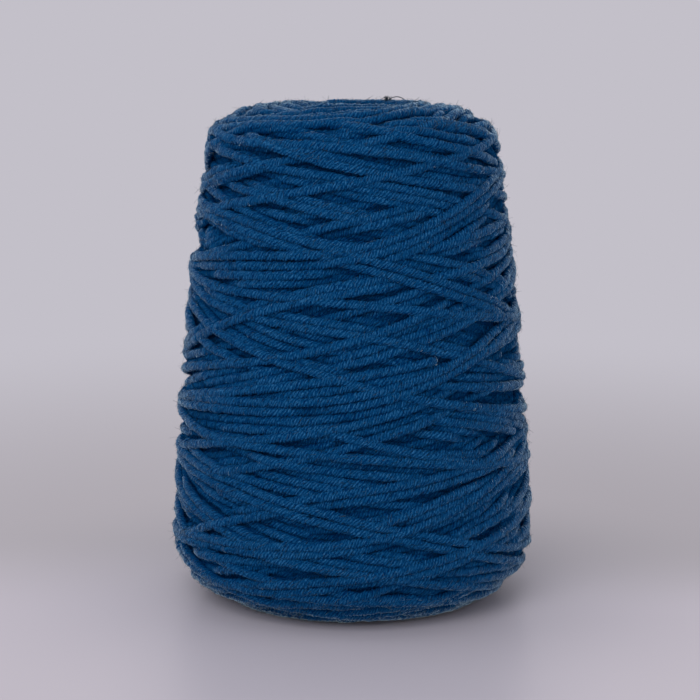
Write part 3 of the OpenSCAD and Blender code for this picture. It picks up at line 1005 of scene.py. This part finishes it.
def cell_map(number, points, sides):
    """Map corners for tubes_mesh: a cell to a tube, with its side unrolled and its two ends."""
    cells = math.ceil(math.sqrt(number))
    corner = np.stack([np.arange(number) % cells, np.arange(number) // cells], -1)
    x = CELL_EDGE + CELL_W * np.arange(sides) / sides
    y = CELL_EDGE + CELL_H * np.arange(points - 1) / (points - 1)
    wide, tall = CELL_W / sides, CELL_H / (points - 1)
    box = [(x + dx * wide, y + dy * tall) for dx, dy in ((0, 0), (1, 0), (1, 1), (0, 1))]
    quads = np.stack([np.stack(np.meshgrid(*pair), -1) for pair in box], -2)
    disc = CELL_END_R * circle(sides)
    caps = np.stack([disc[::-1] + CELL_ENDS[0], disc + CELL_ENDS[1]])
    maps = [np.broadcast_to(part, (number, *part.shape)).reshape(number, -1, 2) + corner[:, None]
            for part in (quads, caps)]
    return np.concatenate([part.reshape(-1, 2) for part in maps]) / cells


COARSE = 3  # rows and columns of the height map to a face of the inner yarn
UNDER_CELLS = 4  # columns and rows round each point that it stays under
SKIN = 0.4  # how far it stays under them
INNER_FOOT = 2.0  # its lowest point over the floor
BORE_GAP = 0.4  # room between its bore and the paper cone
CONE_HIGH, CONE_HIGH_R = 150.0, 18.8  # a height near the nose of the paper cone, and its radius there


def lowest_near(height):
    """The lowest height round each cell, of every other column and of every row."""
    near = range(-UNDER_CELLS, UNDER_CELLS + 1)
    low = np.minimum.reduce([np.roll(height, shift, 0) for shift in near[::2]])
    padded = np.pad(low, ((0, 0), (UNDER_CELLS, UNDER_CELLS)), constant_values=math.inf)
    return np.minimum.reduce([padded[:, n : n + low.shape[1]] for n in range(len(near))])


def inner_mesh(name, material, winding):
    """A closed body under the turns that show, with a bore that keeps off the paper cone."""
    line = winding.outline
    rows = np.unique(np.r_[np.arange(0, line.rows, COARSE), line.rows - 1])
    columns = np.arange(0, COLUMNS, COARSE)
    low = (lowest_near(winding.height) - SKIN)[columns][:, rows]
    r = line.r[rows] + line.normal_r[rows] * low
    z = np.maximum(line.z[rows] + line.normal_z[rows] * low, INNER_FOOT)
    bore_z = z[:, [-1, 0]]
    slope = (CONE_BOX[1].x / MM - CONE_HIGH_R) / CONE_HIGH
    r = np.hstack([r, CONE_BOX[1].x / MM - slope * bore_z + BORE_GAP])
    z = np.hstack([z, bore_z])
    turn = (columns * TURN)[:, None]
    points = np.stack([r * np.cos(turn), r * np.sin(turn), z], -1)
    index = np.arange(r.size).reshape(r.shape)
    beside = np.roll(index, -1, 0)
    faces = np.stack([index, beside, np.roll(beside, -1, 1), np.roll(index, -1, 1)], -1)
    return new_mesh(name, [material], points, faces.reshape(-1, 4))


# ---------------------------------------------------------------- materials


def wire(tree, node, sockets):
    """Sets or links input sockets of a node. A colour is given as three numbers."""
    for key, value in sockets.items():
        socket = node.inputs[key]
        if isinstance(value, bpy.types.NodeSocket):
            tree.links.new(value, socket)
        elif socket.type == "RGBA":
            socket.default_value = (*value, 1)
        else:
            socket.default_value = value


def add_node(tree, kind, sockets=None, **settings):
    """A node with its settings and its input sockets set or linked."""
    node = tree.nodes.new(kind)
    for key, value in settings.items():
        setattr(node, key, value)
    wire(tree, node, sockets or {})
    return node


def new_material(name, roughness):
    """A material with its node tree and its shader."""
    material = bpy.data.materials.new(name)
    material.use_nodes = True
    shader = material.node_tree.nodes["Principled BSDF"]
    shader.inputs["Roughness"].default_value = roughness
    return material, material.node_tree, shader


def maths(tree, operation, one, other=0.0):
    """The result of one operation on two values."""
    return add_node(tree, "ShaderNodeMath", {0: one, 1: other}, operation=operation).outputs[0]


def between(tree, value, span, results=(0.0, 1.0), kind="LINEAR"):
    """How far a value has come through a span, from 0 to 1 or from one result to the other."""
    sockets = {"Value": value, "From Min": span[0], "From Max": span[1],
               "To Min": results[0], "To Max": results[1]}
    return add_node(tree, "ShaderNodeMapRange", sockets, interpolation_type=kind).outputs[0]


def mix_colours(tree, factor, low, high, blend="MIX"):
    """A colour between low and high."""
    sockets = {0: factor, 6: low, 7: high}
    return add_node(tree, "ShaderNodeMix", sockets, data_type="RGBA", blend_type=blend).outputs[2]


def mix_shaders(tree, output, factor, one, other):
    """Sends a mixture of two shaders to the output."""
    sockets = {0: factor, 1: one.outputs[0], 2: other.outputs[0]}
    mixed = add_node(tree, "ShaderNodeMixShader", sockets)
    tree.links.new(mixed.outputs[0], tree.nodes[output].inputs[0])


def noise(tree, vector, scale, detail=2.0):
    """Noise from 0 to 1."""
    sockets = {"Vector": vector, "Scale": scale, "Detail": detail}
    return add_node(tree, "ShaderNodeTexNoise", sockets).outputs["Fac"]


def strand_noise(tree, spot, scale, squeeze, detail=2.0):
    """Noise that is drawn out along the strand."""
    mapping = add_node(tree, "ShaderNodeMapping", {"Vector": spot, "Scale": (1, 1, squeeze)})
    return noise(tree, mapping.outputs[0], scale, detail)


BUMP_DEPTH = 0.2 * MM


def bump(tree, height, strength):
    """Normals of a fine relief."""
    sockets = {"Height": height, "Strength": strength, "Distance": BUMP_DEPTH}
    return add_node(tree, "ShaderNodeBump", sockets).outputs[0]


# Light and dark along the strand: scale, squeeze, detail, darkest, lightest
YARN_TONES = (
    (1.6, 0.9, 2.0, 0.70, 1.30),  # plies that catch more or less light
    (3.2, 0.8, 2.0, 0.15, 2.0),  # fibres
    (0.05, 1.0, 1.0, 0.95, 1.05),  # drift of the dye
)
NOISE_SPAN = (0.3, 0.7)  # what the noise mostly keeps to
TONE_SCALE = 0.6  # place on the ramp of a tone of 1
SHADE_STOP, DYE_STOP, HIGHLIGHT_STOP = 0.1, 0.5, 1.0  # places on it of the painted shade colour, of the dye and of the painted highlight colour
FINE_NOISE = 6.0, 0.16  # scale and squeeze of the relief
RAISED_SHEEN, SHADED_SHEEN, FIBRE_SHEEN = 0.83, 0.0, 0.3  # sheen of the lit copy of the finish on raised faces, of its shaded copy between strands, and of loose fibres and the frayed end
SHEEN_TINT = (0.68, 0.88, 1.0)
INNER_PALE = 0.6  # share of the dye in the palest of the inner yarn


def yarn_material(name, yarn, sheen):
    """Soft dyed yarn: a painted highlight where plies stand out, painted shade between strands, with fine
    fibres.
    """
    material, tree, shader = new_material(name, roughness=0.92)
    spot = add_node(tree, "ShaderNodeAttribute", attribute_name="spot").outputs["Vector"]
    # The ridge tone holds the strands' painted shade; fibres and the loose end give their own tones there
    tone = add_node(tree, "ShaderNodeAttribute", attribute_name="ridge").outputs["Fac"]
    for scale, squeeze, detail, darkest, lightest in YARN_TONES:
        part = strand_noise(tree, spot, scale, squeeze, detail)
        part = between(tree, part, NOISE_SPAN, (darkest, lightest))
        tone = maths(tree, "MULTIPLY", tone, part)
    # The ramp runs from the painted shade colour through the dye to the painted highlight colour
    ramp = add_node(tree, "ShaderNodeValToRGB", {0: maths(tree, "MULTIPLY", tone, TONE_SCALE)})
    stops = ramp.color_ramp.elements
    stops[0].position, stops[0].color = SHADE_STOP, (*yarn.painted_shade_colour, 1)
    stops[1].position, stops[1].color = HIGHLIGHT_STOP, (*yarn.painted_highlight_colour, 1)
    stops.new(DYE_STOP).color = (*yarn.dye, 1)
    wire(tree, shader, {
        "Base Color": ramp.outputs[0],
        "Normal": bump(tree, strand_noise(tree, spot, *FINE_NOISE), strength=0.5),
        "Specular IOR Level": 0.0,
        "Sheen Weight": sheen,
        "Sheen Roughness": 0.25,
        "Sheen Tint": SHEEN_TINT,
    })
    return material


def inner_material(yarn):
    """Dull yarn darkened with painted shade, as deep between the turns."""
    material, tree, shader = new_material("inner_yarn", roughness=0.95)
    place = add_node(tree, "ShaderNodeTexCoord").outputs["Object"]
    fibre = noise(tree, place, scale=700.0, detail=3.0)
    # Painted shade: from the painted shade colour to a darkened dye
    base = mix_colours(tree, fibre, yarn.painted_shade_colour, tuple(INNER_PALE * part for part in yarn.dye))
    wire(tree, shader, {"Base Color": base, "Specular IOR Level": 0.0})
    return material


SEAM_EDGE = (0.1 * MM, 0.5 * MM)  # distance from the middle of the seam over which it ends
SCUFFED = (0.55, 0.7)  # noise over which the board turns scuffed
BOARD_FIBRES = 0.4  # height of the fibres, as a share of the seam's depth


def board_material(board):
    """Paper board wound in a spiral: fibres, scuffs and the seam of the wound strip."""
    material, tree, shader = new_material("wound_board", roughness=0.85)
    place = add_node(tree, "ShaderNodeTexCoord").outputs["Object"]
    split = add_node(tree, "ShaderNodeSeparateXYZ", {0: place}).outputs
    turns = maths(tree, "DIVIDE", maths(tree, "ARCTAN2", split["Y"], split["X"]), 2 * math.pi)
    turns = maths(tree, "ADD", turns, maths(tree, "DIVIDE", split["Z"], board.pitch))
    from_seam = maths(tree, "MULTIPLY", maths(tree, "PINGPONG", turns, 0.5), board.pitch)
    clear = between(tree, from_seam, SEAM_EDGE)
    fibre = noise(tree, place, scale=900.0, detail=4.0)
    scuffed = between(tree, noise(tree, place, scale=90.0, detail=3.0), SCUFFED)
    base = mix_colours(tree, fibre, board.dark, board.pale)
    base = mix_colours(tree, scuffed, base, board.worn)
    base = mix_colours(tree, clear, board.seam, base)
    relief = maths(tree, "ADD", maths(tree, "MULTIPLY", fibre, BOARD_FIBRES), clear)
    wire(tree, shader, {"Base Color": base, "Normal": bump(tree, relief, strength=0.4)})
    return material


# Places on the floor, in metres from the middle of the cone
BEHIND = (-0.03, 0.07)  # Y over which the floor turns into the painted shade of the sweep behind the cone
ASIDE = (0.03, 0.075)  # distance to the side over which it comes clear of the cone
RIGHT_SHADOW = (0.0, 0.12)  # X over which a painted shadow darkens the sweep to the right
RIGHT_SHADOW_SHARE = 0.93  # what is left of its colour in that painted shadow
TO_WALL = (0.06, 0.56)  # distance over which it takes on the backdrop's colour
FADE_CLEAR = (0.05, 0.15)  # distance over which, clear of the cone, the lit floor gives way to its glow: painted light that lightens the cone's shadow there
FADE_ALL = (0.15, 0.35)  # the same everywhere


def floor_material(stage):
    """Pale floor that takes the shadow near the cone and fades into the backdrop further off, with
    painted shade behind the cone, a painted shadow to its right, and a glow of painted light that
    lightens the shadow where the floor is clear of the cone.
    """
    material, tree, shader = new_material("pale_floor", stage.floor_rough)
    place = add_node(tree, "ShaderNodeTexCoord").outputs["Object"]
    split = add_node(tree, "ShaderNodeSeparateXYZ", {0: place}).outputs
    far = add_node(tree, "ShaderNodeVectorMath", {0: place}, operation="LENGTH").outputs["Value"]

    def through(value, span):
        return between(tree, value, span, kind="SMOOTHSTEP")

    behind = through(split["Y"], BEHIND)
    clear = maths(tree, "MAXIMUM", behind, through(maths(tree, "ABSOLUTE", split["X"]), ASIDE))
    # Painted shadow: the sweep darkens to the right of the cone
    right_shadow = maths(tree, "MULTIPLY", behind, through(split["X"], RIGHT_SHADOW))
    # Painted shade: the floor takes the darker colour of the sweep behind the cone
    near = mix_colours(tree, behind, stage.floor, stage.band)
    near = mix_colours(tree, right_shadow, near, tuple(RIGHT_SHADOW_SHARE * part for part in stage.band))
    away = mix_colours(tree, through(far, TO_WALL), near, stage.wall)
    dull = mix_colours(tree, 1.0, near, (stage.floor_share,) * 3, "MULTIPLY")
    wire(tree, shader, {"Base Color": dull, "Specular IOR Level": stage.floor_gloss})
    # The glow is painted light: near the cone it lightens the shadow, further off it gives the backdrop's
    # colour
    glow = add_node(tree, "ShaderNodeEmission", {"Color": away, "Strength": 1.0})
    fade = maths(tree, "MULTIPLY", through(far, FADE_CLEAR), clear)
    fade = maths(tree, "MAXIMUM", fade, through(far, FADE_ALL))
    mix_shaders(tree, "Material Output", fade, shader, glow)
    return material


# -------------------------------------------------------------------- pieces


def add_object(name, data):
    """A new object in the scene."""
    thing = bpy.data.objects.new(name, data)
    bpy.context.scene.collection.objects.link(thing)
    return thing


def add_yarn(mesh):
    """A piece of yarn with that mesh, on the cone's one body."""
    piece = add_object(mesh.name, mesh)
    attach(piece, "root")
    return piece


class YARNCONE_OT_outer_turns(Operator):
    """Wind the outer turns of the one strand"""

    bl_idname = "yarn_cone.outer_turns"
    bl_label = "Outer turns"

    def execute(self, context):
        yarn = context.scene.yarn_cone.yarn
        path = strand_path()
        # A lit copy of the finish with sheen, and a shaded copy without it as painted shade between
        # strands
        finishes = (
            yarn_material("dyed_yarn", yarn, RAISED_SHEEN),
            yarn_material("shaded_yarn", yarn, SHADED_SHEEN),
        )
        groups, faces = [[]], 0
        for stretch in path.stretches():
            own = (stretch[1] - stretch[0]) * yarn.plies * len(PLY_PROFILE) * 2
            if faces + own > MOST_FACES:
                groups.append([])
                faces = 0
            groups[-1].append(stretch)
            faces += own
        for number, stretches in enumerate(groups, start=1):
            name = f"outer_turns_{number:02d}"
            piece = add_yarn(strand_mesh(name, path, stretches, yarn, finishes))
            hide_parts("yarn_winding")
        return {"FINISHED"}


class YARNCONE_OT_loose_fibres(Operator):
    """Raise the loose fibres of the yarn"""

    bl_idname = "yarn_cone.loose_fibres"
    bl_label = "Loose fibres"

    def execute(self, context):
        cone = context.scene.yarn_cone
        rng = np.random.default_rng(cone.winding.seed)
        material = yarn_material("loose_fibres", cone.yarn, FIBRE_SHEEN)
        fibres = loose_fibres(strand_path(), cone.yarn, cone.yarn.fibres, rng)
        most = MOST_FACES // (FIBRE_SIDES * 2 * FIBRE_POINTS)
        for number, first in enumerate(range(0, cone.yarn.fibres, most), start=1):
            part = (values[first : first + most] for values in fibres)
            add_yarn(tubes_mesh(f"loose_fibres_{number:02d}", material, FIBRE_SIDES, *part))
        return {"FINISHED"}


class YARNCONE_OT_loose_end(Operator):
    """Fray the end of the strand on the top"""

    bl_idname = "yarn_cone.loose_end"
    bl_label = "Loose end"

    def execute(self, context):
        cone = context.scene.yarn_cone
        material = yarn_material("frayed_yarn", cone.yarn, FIBRE_SHEEN)
        fibres = loose_end(strand_path(), cone.yarn, cone.end, np.random.default_rng(END_SEED))
        add_yarn(tubes_mesh("loose_end", material, END_SIDES, *fibres))
        return {"FINISHED"}


class YARNCONE_OT_inner_yarn(Operator):
    """Make the body of inner turns that the outer ones lie on"""

    bl_idname = "yarn_cone.inner_yarn"
    bl_label = "Inner yarn"

    def execute(self, context):
        material = inner_material(context.scene.yarn_cone.yarn)
        piece = add_yarn(inner_mesh("inner_yarn", material, wound()))
        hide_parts("yarn_core")
        return {"FINISHED"}


class YARNCONE_OT_paper_cone(Operator):
    """Finish the paper cone that the yarn is wound on"""

    bl_idname = "yarn_cone.paper_cone"
    bl_label = "Paper cone"

    def execute(self, context):
        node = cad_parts["paper_cone"]
        node.data.materials.clear()
        node.data.materials.append(board_material(context.scene.yarn_cone.board))
        return {"FINISHED"}


FLOOR_EDGE = 6.0  # half the width of the floor
MIDDLE = (0, 0, 0.08)  # what most of the lamps face
# Each lamp's name, which the setting of its power shares, and its place, aim and width
LAMPS = (
    ("key", (-0.3, -0.8, 0.68), MIDDLE, 0.7),
    ("fill_left", (-0.9, 0.1, 0.35), MIDDLE, 0.7),
    ("fill_right", (0.9, -0.2, 0.35), MIDDLE, 0.7),
    ("front", (0.15, -0.95, 0.07), (0, 0, 0.04), 0.5),
    ("top", (0.0, 0.35, 0.95), MIDDLE, 0.9),
)


def add_floor(stage):
    """The wide floor that the cone stands on."""
    mesh = bpy.data.meshes.new("floor")
    corners = [(x * FLOOR_EDGE, y * FLOOR_EDGE, 0) for x, y in ((-1, -1), (1, -1), (1, 1), (-1, 1))]
    mesh.from_pydata(corners, [], [(0, 1, 2, 3)])
    mesh.materials.append(floor_material(stage))
    add_object("floor", mesh)


def add_lamps(stage):
    """Square soft lamps that face the cone."""
    for name, place, aim, size in LAMPS:
        data = bpy.data.lights.new(name, "AREA")
        data.size, data.energy = size, getattr(stage, name)
        lamp = add_object(name, data)
        lamp.location = place
        lamp.rotation_euler = (Vector(aim) - Vector(place)).to_track_quat("-Z", "Y").to_euler()


def add_world(stage):
    """Light from all sides, and the backdrop wherever it is seen or mirrored."""
    world = bpy.data.worlds.new("studio")
    bpy.context.scene.world = world
    world.use_nodes = True
    tree = world.node_tree
    light = tree.nodes["Background"]
    wire(tree, light, {"Color": stage.sky, "Strength": stage.ambient})
    wall = add_node(tree, "ShaderNodeBackground", {"Color": stage.wall, "Strength": 1.0})
    rays = add_node(tree, "ShaderNodeLightPath").outputs
    seen = maths(tree, "MAXIMUM", rays["Is Camera Ray"], rays["Is Glossy Ray"])
    seen = maths(tree, "MAXIMUM", seen, rays["Is Transmission Ray"])
    mix_shaders(tree, "World Output", seen, light, wall)


def add_camera(stage):
    """The camera, which looks straight back and a little down."""
    data = bpy.data.cameras.new("camera")
    data.lens, data.sensor_width = stage.lens, 36.0
    camera = add_object("camera", data)
    camera.location = stage.eye
    camera.rotation_euler = (math.pi / 2 - stage.tilt, 0, 0)
    bpy.context.scene.camera = camera


class YARNCONE_OT_stage(Operator):
    """Set the floor, the lamps, the sky and the camera"""

    bl_idname = "yarn_cone.stage"
    bl_label = "Stage"

    def execute(self, context):
        stage = context.scene.yarn_cone.stage
        for add in (add_floor, add_lamps, add_world, add_camera):
            add(stage)
        context.scene.view_settings.view_transform = "Standard"
        return {"FINISHED"}


STEPS = (
    YARNCONE_OT_outer_turns,
    YARNCONE_OT_loose_fibres,
    YARNCONE_OT_loose_end,
    YARNCONE_OT_inner_yarn,
    YARNCONE_OT_paper_cone,
    YARNCONE_OT_stage,
)


class YARNCONE_PT_panel(Panel):
    """Lists the steps and the settings"""

    bl_label = "Yarn Cone"
    bl_category = "Yarn Cone"
    bl_space_type = "VIEW_3D"
    bl_region_type = "UI"

    def draw(self, context):
        for step in STEPS:
            self.layout.operator(step.bl_idname)
        cone = context.scene.yarn_cone
        for part in YARNCONE_PG_all.__annotations__:
            box = self.layout.box()
            box.label(text=part.capitalize())
            group = getattr(cone, part)
            for name in type(group).__annotations__:
                box.prop(group, name)


CLASSES = (
    YARNCONE_PG_package,
    YARNCONE_PG_yarn,
    YARNCONE_PG_winding,
    YARNCONE_PG_end,
    YARNCONE_PG_board,
    YARNCONE_PG_stage,
    YARNCONE_PG_all,
    *STEPS,
    YARNCONE_PT_panel,
)


def register():
    """Registers the classes and the settings."""
    for one in CLASSES:
        bpy.utils.register_class(one)
    bpy.types.Scene.yarn_cone = PointerProperty(type=YARNCONE_PG_all)


def unregister():
    """Takes them out again."""
    del bpy.types.Scene.yarn_cone
    for one in reversed(CLASSES):
        bpy.utils.unregister_class(one)


def main():
    """Builds every piece and the stage."""
    register()
    for step in STEPS:
        group, name = step.bl_idname.split(".")
        getattr(getattr(bpy.ops, group), name)()


if __name__ == "__main__":
    main()
